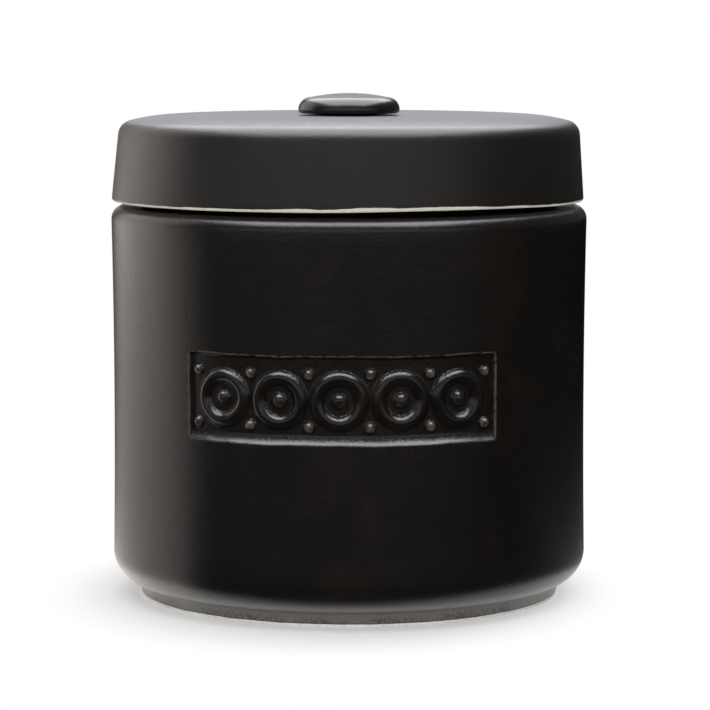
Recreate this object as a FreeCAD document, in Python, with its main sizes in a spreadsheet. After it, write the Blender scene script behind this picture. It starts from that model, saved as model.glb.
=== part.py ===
import FreeCAD, Part
import math
import os
import re

import Sketcher

# Bacon grease container: a glazed stoneware jar with a neck, a cap lid with a button knob,
# and a wire mesh strainer that hangs in the mouth and lifts out by its rim.
# Origin: centre of the foot ring, on the surface that the jar stands on. +Z is up and the
# sunken panel faces -Y. Sections are drawn as (distance from the axis, height) in millimetres.

DIMENSIONS = {
    # Jar, outside
    "foot_radius": 52.9,
    "foot_inner_radius": 46.2,
    "foot_recess_height": 1.8,
    "crease_height": 3.4,
    "base_low": 3.25,
    "base_round": 8.0,
    "belly_radius": 59.93,
    "wall_bow_radius": 2225.0,
    "rim_radius": 59.98,
    "rim_round": 3.4,
    "shoulder_height": 98.5,
    "neck_radius": 52.0,
    "neck_root_round": 1.2,
    "neck_top": 115.0,
    "lip_round": 1.3,
    # Jar, inside
    "mouth_radius": 47.3,
    "throat_height": 100.4,
    "throat_round": 8.0,
    "bore_radius": 54.6,
    "floor_height": 7.5,
    "floor_round": 6.0,
    # Sunken panel on the front, and the raised rings and bosses in it
    "panel_bottom": 44.9,
    "panel_top": 65.9,
    "panel_angle": 76.6,
    "panel_floor_radius": 58.4,
    "relief_radius": 59.4,
    "relief_root_radius": 57.0,
    "relief_reach": 61.0,
    "ring_count": 5,
    "ring_pitch": 14.3,
    "ring_radius": 5.4,
    "stroke_half_width": 1.5,
    "boss_radius": 1.6,
    "side_boss_radius": 1.2,
    "side_boss_rise": 6.3,
    # Lid
    "skirt_bottom": 100.0,
    "skirt_radius": 59.5,
    "skirt_inner_radius": 54.9,
    "edge_round": 0.5,
    "crown_radius": 58.15,
    "crown_start": 116.3,
    "crown_round": 3.8,
    "crown_edge_radius": 55.4,
    "crown_edge_height": 119.65,
    "crown_bow_radius": 46.0,
    "dish_radius": 43.0,
    "lid_top": 121.1,
    "lid_underside": 115.5,
    "lid_seat_radius": 50.5,
    "lid_relief": 0.3,
    "lid_inner_round": 1.0,
    # Knob on the lid
    "knob_pad_radius": 9.0,
    "knob_pad_height": 121.0,
    "knob_neck_radius": 7.0,
    "knob_flare": 1.2,
    "knob_under": 121.45,
    "knob_radius": 12.8,
    "knob_under_round": 0.9,
    "knob_round": 3.15,
    "knob_rise": 1.0,
    # Strainer: sheet rim with a curled edge, wire in the curl, mesh bowl, clamp ring
    "sheet_thickness": 0.5,
    "collar_inner_radius": 45.6,
    "collar_bottom": 105.0,
    "collar_bend": 0.6,
    "curl_radius": 53.25,
    "rim_wire_radius": 0.45,
    "mesh_thickness": 0.6,
    "mesh_top": 110.5,
    "bowl_side_radius": 43.0,
    "bowl_side_height": 93.6,
    "bowl_round": 13.06,
    "bowl_floor_radius": 31.5,
    "bowl_floor_height": 83.3,
    "bowl_bottom": 82.0,
    "clamp_thickness": 0.6,
    "clamp_bottom": 105.6,
}

SHEET = "dims"
FRONT = -90.0
SKETCH_START = 1
SKETCH_END = 2
SKETCH_MIDDLE = 3
ACROSS_AXIS = -1
UP_AXIS = -2
TINY = 1e-6


def new_sheet(doc):
    """Put every driving dimension in a cell of its own, under its name."""
    sheet = doc.addObject("Spreadsheet::Sheet", SHEET)
    for row, (alias, number) in enumerate(DIMENSIONS.items(), start=1):
        sheet.set("A%d" % row, alias)
        sheet.set("B%d" % row, str(number))
        sheet.setAlias("B%d" % row, alias)
    doc.recompute()
    return sheet


def bound(text):
    """Write a formula of dimension names as one that reads the sheet's cells."""
    def cell(match):
        word = match.group(0)
        return SHEET + "." + word if word in DIMENSIONS else word
    return re.sub(r"[a-z_]+", cell, text)


def number(owner, text):
    """Value of a formula of dimension names."""
    return float(owner.evalExpression(bound(text)))


def origin_feature(body, role):
    """One of the body's own planes or axes."""
    return next(item for item in body.Origin.OriginFeatures if item.Role == role)


def new_body(doc, label):
    body = doc.addObject("PartDesign::Body", label)
    body.Label = label
    body.Placement = FreeCAD.Placement()
    return body


def new_sketch(body, name, turn="0", stand_off="0"):
    """Upright sketch, turned about the vertical axis and moved out along its own normal."""
    sketch = body.newObject("Sketcher::SketchObject", name)
    sketch.AttachmentSupport = (origin_feature(body, "XZ_Plane"), [""])
    sketch.MapMode = "FlatFace"
    angle = number(body, turn)
    distance = number(body, stand_off)
    away = FreeCAD.Vector(math.sin(math.radians(angle)), 0, math.cos(math.radians(angle)))
    turned = FreeCAD.Rotation(FreeCAD.Vector(0, 1, 0), angle)
    sketch.AttachmentOffset = FreeCAD.Placement(away * distance, turned)
    sketch.setExpression("AttachmentOffset.Rotation.Angle", bound(turn))
    if distance:
        sketch.setExpression("AttachmentOffset.Base.x", bound("(%s) * sin(%s)" % (stand_off, turn)))
        sketch.setExpression("AttachmentOffset.Base.z", bound("(%s) * cos(%s)" % (stand_off, turn)))
    return sketch


class Outline:
    """Closed outline of straight and round edges in a sketch, with its sizes bound to the sheet."""

    def __init__(self, sketch, across, up):
        self.sketch = sketch
        self.corners = [(across, up)]
        self.radii = []

    def line(self, across, up):
        """Straight edge to a corner."""
        self.corners.append((across, up))
        self.radii.append(None)
        return self

    def left(self, across, up, radius):
        """Round edge to a corner, turning left on the way."""
        self.corners.append((across, up))
        self.radii.append((radius, 1))
        return self

    def right(self, across, up, radius):
        """Round edge to a corner, turning right on the way."""
        self.corners.append((across, up))
        self.radii.append((radius, -1))
        return self

    def place(self, corner):
        """Corner as a point of the sketch."""
        return FreeCAD.Vector(number(self.sketch, corner[0]), number(self.sketch, corner[1]), 0)

    def arc(self, start, end, radius, side):
        """Arc of less than a half turn between two points, with its centre on the given side."""
        chord = end - start
        rise = math.sqrt(radius ** 2 - (chord.Length / 2) ** 2)
        normal = FreeCAD.Vector(-chord.y, chord.x, 0) / chord.Length
        centre = (start + end) / 2 + normal * rise * side
        first, last = (start, end) if side > 0 else (end, start)
        angles = [math.atan2(point.y - centre.y, point.x - centre.x) for point in (first, last)]
        circle = Part.Circle(centre, FreeCAD.Vector(0, 0, 1), radius)
        return Part.ArcOfCircle(circle, angles[0], angles[1])

    def bind(self, kind, edge, end, text):
        """Hold one coordinate of an edge's end at a formula's value."""
        if abs(number(self.sketch, text)) < TINY:
            axis = UP_AXIS if kind == "DistanceX" else ACROSS_AXIS
            self.sketch.addConstraint(Sketcher.Constraint("PointOnObject", edge, end, axis))
            return
        rule = Sketcher.Constraint(kind, edge, end, number(self.sketch, text))
        index = self.sketch.addConstraint(rule)
        self.sketch.setExpression("Constraints[%d]" % index, bound(text))

    def close(self):
        """Draw the edges, join them end to end and bind their corners and radii."""
        self.radii.append(None)
        places = [self.place(corner) for corner in self.corners]
        ends = []
        for index, radius in enumerate(self.radii):
            start = places[index]
            end = places[(index + 1) % len(places)]
            if radius is None:
                edge = self.sketch.addGeometry(Part.LineSegment(start, end), False)
                ends.append((edge, SKETCH_START, SKETCH_END))
                continue
            size, side = radius
            edge = self.sketch.addGeometry(self.arc(start, end, number(self.sketch, size), side), False)
            order = (SKETCH_START, SKETCH_END) if side > 0 else (SKETCH_END, SKETCH_START)
            ends.append((edge,) + order)
        for index, (edge, first, last) in enumerate(ends):
            following, start_of_next, _ = ends[(index + 1) % len(ends)]
            joint = Sketcher.Constraint("Coincident", edge, last, following, start_of_next)
            self.sketch.addConstraint(joint)
            across, up = self.corners[index]
            self.bind("DistanceX", edge, first, across)
            self.bind("DistanceY", edge, first, up)
            if self.radii[index]:
                size = self.radii[index][0]
                rule = Sketcher.Constraint("Radius", edge, number(self.sketch, size))
                row = self.sketch.addConstraint(rule)
                self.sketch.setExpression("Constraints[%d]" % row, bound(size))
        return self.sketch


def draw_circle(sketch, up, radius):
    """Full circle on the sketch's vertical axis."""
    centre = FreeCAD.Vector(0, number(sketch, up), 0)
    circle = Part.Circle(centre, FreeCAD.Vector(0, 0, 1), number(sketch, radius))
    edge = sketch.addGeometry(circle, False)
    sketch.addConstraint(Sketcher.Constraint("PointOnObject", edge, SKETCH_MIDDLE, UP_AXIS))
    place = sketch.addConstraint(Sketcher.Constraint("DistanceY", edge, SKETCH_MIDDLE, centre.y))
    sketch.setExpression("Constraints[%d]" % place, bound(up))
    size = sketch.addConstraint(Sketcher.Constraint("Radius", edge, circle.Radius))
    sketch.setExpression("Constraints[%d]" % size, bound(radius))


def revolve(body, sketch, name, kind="PartDesign::Revolution", angle=None):
    """Turn a section about the vertical axis, all the way or half to each side of its plane."""
    feature = body.newObject(kind, name)
    feature.Profile = sketch
    feature.ReferenceAxis = (sketch, ["V_Axis"])
    feature.Angle = 360.0
    if angle:
        feature.Midplane = True
        feature.setExpression("Angle", bound(angle))
    return feature


def repeat_around(body, feature, name, count, spacing):
    """Copies of a feature at even angles about the vertical axis."""
    pattern = body.newObject("PartDesign::PolarPattern", name)
    pattern.Originals = [feature]
    pattern.Axis = (origin_feature(body, "Z_Axis"), [""])
    pattern.Mode = "Extent"
    pattern.setExpression("Occurrences", bound(count))
    pattern.setExpression("Angle", bound("(%s - 1) * %s" % (count, spacing)))
    body.Tip = pattern
    return pattern


def ring_sketch(body, name, inner, outer, bottom, top):
    """Rectangle facing the front, for a cut that follows the jar's wall."""
    sketch = new_sketch(body, name, turn=str(FRONT))
    outline = Outline(sketch, inner, bottom)
    outline.line(outer, bottom).line(outer, top).line(inner, top)
    outline.close()
    return sketch


def jar_section(body):
    """Half section of the jar: foot, base, wall, shoulder, neck, throat and floor."""
    crease_radius = ("belly_radius - base_round + sqrt(base_round^2"
                     " - (base_low + base_round - crease_height)^2)")
    throat_drop = ("(2 * throat_round * sqrt(1 - (1 - (bore_radius - mouth_radius)"
                   " / (2 * throat_round))^2))")
    outline = Outline(new_sketch(body, "jar_section"), "0", "foot_recess_height")
    outline.line("foot_inner_radius - foot_recess_height", "foot_recess_height")
    outline.line("foot_inner_radius", "0")
    outline.line("foot_radius", "0")
    outline.line(crease_radius, "crease_height")
    outline.left("belly_radius", "base_low + base_round", "base_round")
    outline.right("rim_radius", "shoulder_height - rim_round", "wall_bow_radius")
    outline.left("rim_radius - rim_round", "shoulder_height", "rim_round")
    outline.line("neck_radius + neck_root_round", "shoulder_height")
    outline.right("neck_radius", "shoulder_height + neck_root_round", "neck_root_round")
    outline.line("neck_radius", "neck_top - lip_round")
    outline.left("neck_radius - lip_round", "neck_top", "lip_round")
    outline.line("mouth_radius + lip_round", "neck_top")
    outline.left("mouth_radius", "neck_top - lip_round", "lip_round")
    outline.line("mouth_radius", "throat_height")
    outline.left("(mouth_radius + bore_radius) / 2", "throat_height - %s / 2" % throat_drop,
                 "throat_round")
    outline.right("bore_radius", "throat_height - %s" % throat_drop, "throat_round")
    outline.line("bore_radius", "floor_height + floor_round")
    outline.right("bore_radius - floor_round", "floor_height", "floor_round")
    outline.line("0", "floor_height")
    return outline.close()


def draw_ring(sketch):
    """Raised ring at the panel's middle height, and a boss in it."""
    middle = "(panel_bottom + panel_top) / 2"
    draw_circle(sketch, middle, "ring_radius + stroke_half_width")
    draw_circle(sketch, middle, "ring_radius - stroke_half_width")
    draw_circle(sketch, middle, "boss_radius")


def raise_row(body, name, draw, first_turn, count):
    """Pad a drawn motif out of the panel's floor and repeat it along the panel."""
    sketch = new_sketch(body, name + "_sketch", turn=first_turn, stand_off="relief_root_radius")
    draw(sketch)
    pad = body.newObject("PartDesign::Pad", name)
    pad.Profile = sketch
    pad.setExpression("Length", bound("relief_reach - relief_root_radius"))
    return repeat_around(body, pad, name + "_row", count, "ring_pitch")


def draw_side_bosses(sketch):
    """Two small bosses, above and below the place where two rings meet."""
    for sign in ("+", "-"):
        draw_circle(sketch, "(panel_bottom + panel_top) / 2 %s side_boss_rise" % sign,
                    "side_boss_radius")


def make_jar(doc):
    """Jar, with its front panel sunk into the wall and a row of ornament raised in it."""
    body = new_body(doc, "jar")
    revolve(body, jar_section(body), "jar_wall")
    recess = ring_sketch(body, "panel_sketch", "panel_floor_radius", "relief_reach",
                         "panel_bottom", "panel_top")
    revolve(body, recess, "panel", "PartDesign::Groove", "panel_angle")
    doc.recompute()
    first = "-(ring_count - 1) / 2 * ring_pitch"
    raise_row(body, "ring", draw_ring, first, "ring_count")
    before = "-ring_count / 2 * ring_pitch"
    raise_row(body, "side_bosses", draw_side_bosses, before, "(ring_count + 1)")
    trim = ring_sketch(body, "relief_top_sketch", "relief_radius", "relief_reach + 1",
                       "panel_bottom", "panel_top")
    revolve(body, trim, "relief_top", "PartDesign::Groove", "panel_angle")
    return body


def make_lid(doc):
    """Cap lid: skirt that goes down round the neck, and a pillowed top with a slight dish."""
    body = new_body(doc, "lid")
    outline = Outline(new_sketch(body, "lid_section"), "0", "lid_underside")
    outline.line("lid_seat_radius", "lid_underside")
    outline.line("skirt_inner_radius - lid_inner_round", "lid_underside + lid_relief")
    outline.right("skirt_inner_radius", "lid_underside + lid_relief - lid_inner_round",
                  "lid_inner_round")
    outline.line("skirt_inner_radius", "skirt_bottom + edge_round")
    outline.left("skirt_inner_radius + edge_round", "skirt_bottom", "edge_round")
    outline.line("skirt_radius - edge_round", "skirt_bottom")
    outline.left("skirt_radius", "skirt_bottom + edge_round", "edge_round")
    outline.line("crown_radius", "crown_start")
    outline.left("crown_edge_radius", "crown_edge_height", "crown_round")
    outline.left("dish_radius", "lid_top", "crown_bow_radius")
    outline.line("knob_pad_radius", "knob_pad_height")
    outline.line("0", "knob_pad_height")
    revolve(body, outline.close(), "lid_cap")
    return body


def make_knob(doc):
    """Button knob on a short neck, set on the flat in the middle of the lid."""
    body = new_body(doc, "lid_knob")
    dome_radius = "((knob_radius - knob_round)^2 + knob_rise^2) / (2 * knob_rise)"
    side_top = "knob_under + knob_under_round + knob_round"
    outline = Outline(new_sketch(body, "knob_section"), "0", "knob_pad_height")
    outline.line("knob_neck_radius", "knob_pad_height")
    outline.line("knob_neck_radius + knob_flare", "knob_under")
    outline.line("knob_radius - knob_under_round", "knob_under")
    outline.left("knob_radius", "knob_under + knob_under_round", "knob_under_round")
    outline.left("knob_radius - knob_round", side_top, "knob_round")
    outline.left("0", side_top + " + knob_rise", dome_radius)
    revolve(body, outline.close(), "knob_button")
    return body


def make_strainer_rim(doc):
    """Collar and flange of one sheet, with the flange's edge curled down round a wire."""
    body = new_body(doc, "strainer_rim")
    outer_bend = "collar_bend + sheet_thickness"
    bend_radius = "collar_inner_radius + sheet_thickness + collar_bend"
    wire_height = "neck_top - rim_wire_radius"
    curl_size = "(rim_wire_radius + sheet_thickness)"
    side = math.cos(math.radians(30.0))
    outline = Outline(new_sketch(body, "rim_section"), "collar_inner_radius", "collar_bottom")
    outline.line("collar_inner_radius + sheet_thickness", "collar_bottom")
    outline.line("collar_inner_radius + sheet_thickness", "neck_top - collar_bend")
    outline.right(bend_radius, "neck_top", "collar_bend")
    outline.line("curl_radius", "neck_top")
    outline.right("curl_radius + %f * rim_wire_radius" % side,
                  wire_height + " - 0.5 * rim_wire_radius", "rim_wire_radius")
    outline.right("curl_radius - %f * rim_wire_radius" % side,
                  wire_height + " - 0.5 * rim_wire_radius", "rim_wire_radius")
    outline.line("curl_radius - %f * %s" % (side, curl_size),
                 "%s - 0.5 * %s" % (wire_height, curl_size))
    outline.left("curl_radius + %f * %s" % (side, curl_size),
                 "%s - 0.5 * %s" % (wire_height, curl_size), curl_size)
    outline.left("curl_radius", "neck_top + sheet_thickness", curl_size)
    outline.line(bend_radius, "neck_top + sheet_thickness")
    outline.left("collar_inner_radius", "neck_top - collar_bend", outer_bend)
    revolve(body, outline.close(), "rim_sheet")
    return body


def make_rim_wire(doc):
    """Wire ring that stiffens the curled edge."""
    wire = doc.addObject("Part::Torus", "strainer_rim_wire")
    wire.Label = "strainer_rim_wire"
    wire.setExpression("Radius1", bound("curl_radius"))
    wire.setExpression("Radius2", bound("rim_wire_radius"))
    wire.setExpression("Placement.Base.z", bound("neck_top - rim_wire_radius"))
    return wire


def make_mesh(doc):
    """Mesh bowl as a thin shell: upright band, tapered side, round corner, sagging floor."""
    body = new_body(doc, "strainer_mesh")
    sag_radius = "(bowl_floor_radius^2 + (bowl_floor_height - bowl_bottom)^2)"
    sag_radius += " / (2 * (bowl_floor_height - bowl_bottom))"
    outline = Outline(new_sketch(body, "mesh_section"), "0", "bowl_bottom")
    outline.left("bowl_floor_radius", "bowl_floor_height", sag_radius)
    outline.left("bowl_side_radius", "bowl_side_height", "bowl_round")
    outline.line("collar_inner_radius", "collar_bottom")
    outline.line("collar_inner_radius", "mesh_top")
    outline.line("collar_inner_radius - mesh_thickness", "mesh_top")
    outline.line("collar_inner_radius - mesh_thickness", "collar_bottom")
    outline.line("bowl_side_radius - mesh_thickness", "bowl_side_height")
    outline.right("bowl_floor_radius", "bowl_floor_height + mesh_thickness",
                  "bowl_round - mesh_thickness")
    outline.right("0", "bowl_bottom + mesh_thickness", sag_radius)
    revolve(body, outline.close(), "mesh_bowl")
    return body


def make_clamp_ring(doc):
    """Hoop inside the mesh, with a lip over the mesh's cut edge."""
    body = new_body(doc, "strainer_clamp_ring")
    inner = "collar_inner_radius - mesh_thickness - clamp_thickness"
    outer = "collar_inner_radius - mesh_thickness"
    outline = Outline(new_sketch(body, "clamp_section"), inner, "clamp_bottom")
    outline.line(outer, "clamp_bottom")
    outline.line(outer, "mesh_top")
    outline.line("collar_inner_radius", "mesh_top")
    outline.line("collar_inner_radius", "mesh_top + clamp_thickness")
    outline.line(inner, "mesh_top + clamp_thickness")
    revolve(body, outline.close(), "clamp_hoop")
    return body


def check(doc, parts):
    """Stop if any object failed, or a part has no shape or a faulty one."""
    for item in doc.Objects:
        if {"Invalid", "Error"} & set(item.State):
            raise RuntimeError("%s failed: %s" % (item.Name, item.State))
    for part in parts:
        shape = part.Shape
        if shape.isNull() or not shape.isValid() or len(shape.Solids) != 1:
            raise RuntimeError("%s has no sound solid" % part.Label)
        print("%-20s %10.1f mm3  faces %d" % (part.Label, shape.Volume, len(shape.Faces)))


def main():
    doc = FreeCAD.newDocument("grease_container")
    new_sheet(doc)
    makers = (make_jar, make_lid, make_knob, make_strainer_rim, make_rim_wire, make_mesh,
              make_clamp_ring)
    parts = [make(doc) for make in makers]
    doc.recompute()
    check(doc, parts)
    os.makedirs("parts", exist_ok=True)
    for part in parts:
        part.Shape.exportStep("parts/%s.step" % part.Label)


main()
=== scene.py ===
import logging
import math
from dataclasses import dataclass, field
from enum import Enum
from typing import Dict, List, Optional, Sequence, Tuple, Union

import bpy
import numpy as np
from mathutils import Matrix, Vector


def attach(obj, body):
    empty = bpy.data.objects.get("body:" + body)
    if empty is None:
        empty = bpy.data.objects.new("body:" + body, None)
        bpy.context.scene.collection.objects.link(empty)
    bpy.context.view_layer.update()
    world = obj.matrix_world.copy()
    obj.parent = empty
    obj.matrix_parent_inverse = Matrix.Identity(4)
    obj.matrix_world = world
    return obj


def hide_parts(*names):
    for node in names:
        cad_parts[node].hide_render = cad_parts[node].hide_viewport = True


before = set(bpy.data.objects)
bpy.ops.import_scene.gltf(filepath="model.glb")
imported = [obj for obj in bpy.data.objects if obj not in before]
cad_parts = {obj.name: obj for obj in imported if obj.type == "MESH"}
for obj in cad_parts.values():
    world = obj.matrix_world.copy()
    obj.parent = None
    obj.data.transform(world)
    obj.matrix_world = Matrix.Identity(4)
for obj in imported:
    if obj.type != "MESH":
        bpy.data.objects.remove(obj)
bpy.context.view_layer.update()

# Glazed stoneware grease jar with a cap lid, a button knob and a lift-out mesh strainer.
# Sizes are in millimetres, as on the maker's drawing, and MM turns them into metres.

MM = 0.001
PHOTO_WIDTH = 710
MERGE_DISTANCE = 2e-6
CREASE_ANGLE = math.radians(40.0)
# Turn along, turn up, share of the seed and strength of each wave in a ripple.
WAVES = ((0.19, 0.11, 1.0, 1.0), (0.47, -0.23, 2.3, 0.6), (0.93, 0.61, 3.7, 0.35))
WAVE_REACH = 1.6

Point = Tuple[float, float]
Colour = Tuple[float, float, float]
Operand = Union["Value", float]
Numbers = Union[float, np.ndarray]

log = logging.getLogger("grease_container")


class Turn(Enum):
    """Which way a round stretch of an outline bends."""

    LEFT = 1
    RIGHT = -1


class Rays(Enum):
    """Which surfaces a lamp lights: all, only glossy ones, or only matt ones."""

    ALL = (True, True)
    GLOSSY = (False, True)
    MATT = (True, False)


class Body(Enum):
    """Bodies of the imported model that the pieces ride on."""

    JAR = "jar"
    STRAINER = "strainer"
    LID = "lid"


class Grain(Enum):
    """Noises of the finishes: waves for each millimetre, octaves, strength of the finer ones."""

    MOTTLE = (0.055, 4.0, 0.6)
    PEEL = (0.55, 3.0, 0.5)
    GRIT = (4.5, 3.0, 0.6)
    PITS = (2.4, 3.0, 0.65)
    WEAR = (0.8, 2.0, 0.5)
    SPECKS = (1.5, 4.0, 0.72)
    PATCHES = (0.09, 2.0, 0.5)
    GLAZE_LINE = (0.16, 3.0, 0.6)
    DUST = (2.2, 4.0, 0.65)
    BRUSHING = (1.0, 4.0, 0.6)
    STAIN = (0.09, 3.0, 0.5)


class Outline:
    """Half section of a turned piece: points as (distance from the axis, height)."""

    def __init__(self, across: float, up: float) -> None:
        """Start at a distance from the axis and a height above the foot."""
        self.points: List[Point] = [(across, up)]

    def line(self, across: float, up: float, step: Optional[float] = None) -> None:
        """Go straight to a point.

        Args:
            across: distance from the axis.
            up: height above the foot.
            step: longest edge on the way, or none for a single edge.
        """
        start = self.points[-1]
        length = math.dist(start, (across, up))
        count = 1 if step is None else max(1, math.ceil(length / step))
        for index in range(1, count + 1):
            share = index / count
            self.points.append((start[0] + (across - start[0]) * share,
                                start[1] + (up - start[1]) * share))

    def arc(self, across: float, up: float, radius: float, turn: Turn, step: float) -> None:
        """Go round to a point on an arc of less than a half turn.

        Args:
            across: distance from the axis.
            up: height above the foot.
            radius: radius of the arc.
            turn: which way the arc bends.
            step: longest edge on the way.
        """
        start = Vector(self.points[-1])
        end = Vector((across, up))
        chord = end - start
        rise = math.sqrt(radius ** 2 - (chord.length / 2) ** 2)
        side = Vector((-chord.y, chord.x)).normalized() * rise * turn.value
        centre = (start + end) / 2 + side
        first = math.atan2(start.y - centre.y, start.x - centre.x)
        sweep = 2 * math.asin(chord.length / 2 / radius) * turn.value
        count = max(2, math.ceil(abs(sweep) * radius / step))
        for index in range(1, count + 1):
            angle = first + sweep * index / count
            self.points.append((centre.x + radius * math.cos(angle),
                                centre.y + radius * math.sin(angle)))
        self.points[-1] = (across, up)


@dataclass(frozen=True)
class Sector:
    """Part of a full turn on the lathe: its sweep in degrees and its number of steps."""

    sweep: float
    steps: int


FULL_TURN = (Sector(360.0, 256),)


def deselect_all() -> None:
    """Leave nothing selected, so that an operator acts on the new piece alone."""
    if bpy.context.object and bpy.context.object.mode != "OBJECT":
        bpy.ops.object.mode_set(mode="OBJECT")
    bpy.ops.object.select_all(action="DESELECT")


def select_only(piece: bpy.types.Object) -> None:
    """Select one piece and make it the active one.

    Args:
        piece: the object to select.
    """
    deselect_all()
    piece.select_set(True)
    bpy.context.view_layer.objects.active = piece


def turned(name: str, points: Sequence[Point], sectors: Sequence[Sector] = FULL_TURN,
           start: float = 0.0) -> bpy.types.Object:
    """Turn a half section round the vertical axis.

    Args:
        name: name of the new piece.
        points: half section, in millimetres.
        sectors: stretches of the turn, which add up to 360 degrees.
        start: direction of the first column, in degrees from +X towards +Y.

    Returns:
        The piece, at the origin, with its faces pointing out.
    """
    deselect_all()
    bpy.ops.mesh.primitive_plane_add(size=MM)
    piece = bpy.context.object
    piece.name = name
    across = Vector((math.cos(math.radians(start)), math.sin(math.radians(start)), 0.0))
    places = [across * (point[0] * MM) + Vector((0.0, 0.0, point[1] * MM)) for point in points]
    bpy.ops.object.mode_set(mode="EDIT")
    bpy.ops.mesh.select_all(action="SELECT")
    bpy.ops.mesh.merge(type="CENTER")
    bpy.ops.transform.translate(value=places[0])
    for here, there in zip(places, places[1:]):
        bpy.ops.mesh.extrude_region_move(TRANSFORM_OT_translate={"value": there - here})
    bpy.ops.mesh.select_all(action="SELECT")
    for sector in sectors:
        bpy.ops.mesh.spin(steps=sector.steps, angle=-math.radians(sector.sweep),
                          center=(0.0, 0.0, 0.0), axis=(0.0, 0.0, 1.0))
    bpy.ops.mesh.select_all(action="SELECT")
    bpy.ops.mesh.remove_doubles(threshold=MERGE_DISTANCE)
    bpy.ops.mesh.normals_make_consistent(inside=False)
    bpy.ops.object.mode_set(mode="OBJECT")
    return piece


def soften(piece: bpy.types.Object) -> None:
    """Shade a piece smooth, apart from its sharp edges."""
    select_only(piece)
    bpy.ops.object.shade_smooth_by_angle(angle=CREASE_ANGLE)


def read_points(piece: bpy.types.Object) -> np.ndarray:
    """Vertices of a piece.

    Args:
        piece: the object to read.

    Returns:
        One row for each vertex: x, y and z in millimetres.
    """
    flat = np.empty(len(piece.data.vertices) * 3)
    piece.data.vertices.foreach_get("co", flat)
    return flat.reshape(-1, 3) / MM


def write_points(piece: bpy.types.Object, places: np.ndarray) -> None:
    """Move the vertices of a piece to places in millimetres, one row for each vertex."""
    piece.data.vertices.foreach_set("co", (places * MM).ravel())
    piece.data.update()


def paint(piece: bpy.types.Object, name: str, values: np.ndarray) -> None:
    """Store one number for each vertex in an attribute, for a material to read."""
    layer = piece.data.attributes.new(name, "FLOAT", "POINT")
    layer.data.foreach_set("value", values.astype(np.float32))


def ease(values: np.ndarray) -> np.ndarray:
    """Smooth step from 0 to 1 of numbers that are first clipped to 0..1."""
    clipped = np.clip(values, 0.0, 1.0)
    return clipped * clipped * (3.0 - 2.0 * clipped)


def chamfer(values: np.ndarray, soft: float = 0.2) -> np.ndarray:
    """Straight slope from 0 to 1 with rounded ends.

    Args:
        values: numbers, clipped to 0..1 first.
        soft: share of the slope that each rounded end takes.

    Returns:
        Numbers from 0 to 1.
    """
    clipped = np.clip(values, 0.0, 1.0)
    low = np.minimum(clipped, 1.0 - clipped)
    curve = np.where(low < soft, low ** 2 / (2.0 * soft), low - soft / 2.0) / (1.0 - soft)
    return np.where(clipped < 0.5, curve, 1.0 - curve)


def settle(values: np.ndarray, lip: float = 0.07) -> np.ndarray:
    """Slope from 0 to 1 that is steep behind a rounded lip and flattens out.

    Args:
        values: numbers, clipped to 0..1 first.
        lip: share of the slope that the lip takes.

    Returns:
        Numbers from 0 to 1.
    """
    clipped = np.clip(values, 0.0, 1.0)
    eased = clipped ** 2 * (1.0 + lip) / (clipped + lip)
    return 1.0 - (1.0 - eased) ** 2


def ripple(along: Numbers, up: Numbers, seed: float) -> Numbers:
    """Slow uneven waves over a surface, as a hand-pressed edge has, between about -1 and 1."""
    waves = (strength * np.sin(along * ahead + up * rise + seed * shift)
             for ahead, rise, shift, strength in WAVES)
    return sum(waves) / WAVE_REACH


class Value:
    """A number in a node tree. Python's arithmetic on it adds Math nodes."""

    def __init__(self, graph: "Graph", socket: bpy.types.NodeSocket) -> None:
        """Wrap an output socket that carries a number."""
        self.graph = graph
        self.socket = socket

    def __add__(self, other: Operand) -> "Value":
        """Sum."""
        return self.graph.math("ADD", self, other)

    def __sub__(self, other: Operand) -> "Value":
        """Difference."""
        return self.graph.math("SUBTRACT", self, other)

    def __rsub__(self, other: Operand) -> "Value":
        """Difference from a plain number."""
        return self.graph.math("SUBTRACT", other, self)

    def __mul__(self, other: Operand) -> "Value":
        """Product."""
        return self.graph.math("MULTIPLY", self, other)

    def __truediv__(self, other: Operand) -> "Value":
        """Quotient."""
        return self.graph.math("DIVIDE", self, other)

    def __rtruediv__(self, other: Operand) -> "Value":
        """Plain number divided by this one."""
        return self.graph.math("DIVIDE", other, self)

    def __pow__(self, other: Operand) -> "Value":
        """Power."""
        return self.graph.math("POWER", self, other)

    def __neg__(self) -> "Value":
        """Opposite."""
        return self.graph.math("MULTIPLY", self, -1.0)

    __radd__ = __add__

    def hypot(self, other: "Value") -> "Value":
        """Length of a line whose sides are this number and another one."""
        return (self * self + other * other) ** 0.5

    def rise(self, low: float, high: float) -> "Value":
        """Smooth step of this number.

        Args:
            low: number at which the step starts, at 0.
            high: number at which it ends, at 1.

        Returns:
            A number from 0 to 1.
        """
        inputs = {"Value": self, "From Min": low, "From Max": high}
        node = self.graph.node("ShaderNodeMapRange", inputs, interpolation_type="SMOOTHSTEP")
        return Value(self.graph, node.outputs["Result"])


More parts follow.
